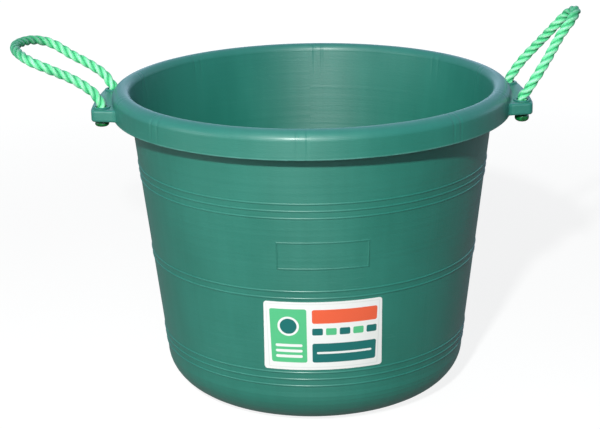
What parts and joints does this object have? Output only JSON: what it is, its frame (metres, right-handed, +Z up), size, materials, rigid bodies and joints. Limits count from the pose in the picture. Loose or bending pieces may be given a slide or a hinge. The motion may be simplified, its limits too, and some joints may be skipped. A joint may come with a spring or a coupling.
{
  "type": "muck bucket",
  "caption": "Large round flexible plastic tub with a rolled hollow rim, beaded wall, moulded rope ears and springy rope loop handles on both sides.",
  "frame": {"origin": "on the floor under the middle of the tub", "axes": "+Z up, +X through the middle of one ear, -Y towards the label, at the front"},
  "size_m": [0.7776, 0.5478, 0.5286],
  "materials": {
    "tub_plastic": "moulded polyethylene with a soft sheen",
    "label_film": "printed film, plain coloured design",
    "fused_rope": "melted rope, glossy",
    "rope": "three-strand laid rope, right-hand lay"
  },
  "bodies": {
    "bucket": {"tub": "tub_plastic", "label": "label_film"},
    "left_rope": {"left_front_knob": "fused_rope", "left_back_knob": "fused_rope", "left_front_leg": "rope", "left_back_leg": "rope", "left_front_bend": "rope", "left_back_bend": "rope"},
    "left_handle": {"left_loop": "rope"},
    "right_rope": {"right_front_knob": "fused_rope", "right_back_knob": "fused_rope", "right_front_leg": "rope", "right_back_leg": "rope", "right_front_bend": "rope", "right_back_bend": "rope"},
    "right_handle": {"right_loop": "rope"}
  },
  "joints": [
    {"name": "left_lift", "type": "slide", "parent": "bucket", "child": "left_rope", "axis": [0, 0, 1], "range_m": [-0.006, 0]},
    {"name": "left_swing", "type": "hinge", "parent": "left_rope", "child": "left_handle", "pos_m": [-0.29, 0, 0.43], "axis": [0, 1, 0], "range_deg": [-50, 105], "stiffness_Nm_per_rad": 0.8, "springref_deg": 1.78, "deforming": ["left_front_bend", "left_back_bend"]},
    {"name": "right_lift", "type": "slide", "parent": "bucket", "child": "right_rope", "axis": [0, 0, 1], "range_m": [-0.006, 0]},
    {"name": "right_swing", "type": "hinge", "parent": "right_rope", "child": "right_handle", "pos_m": [0.2895, 0, 0.4275], "axis": [0, -1, 0], "range_deg": [-60, 90], "stiffness_Nm_per_rad": 0.8, "springref_deg": 0.8, "deforming": ["right_front_bend", "right_back_bend"]}
  ]
}
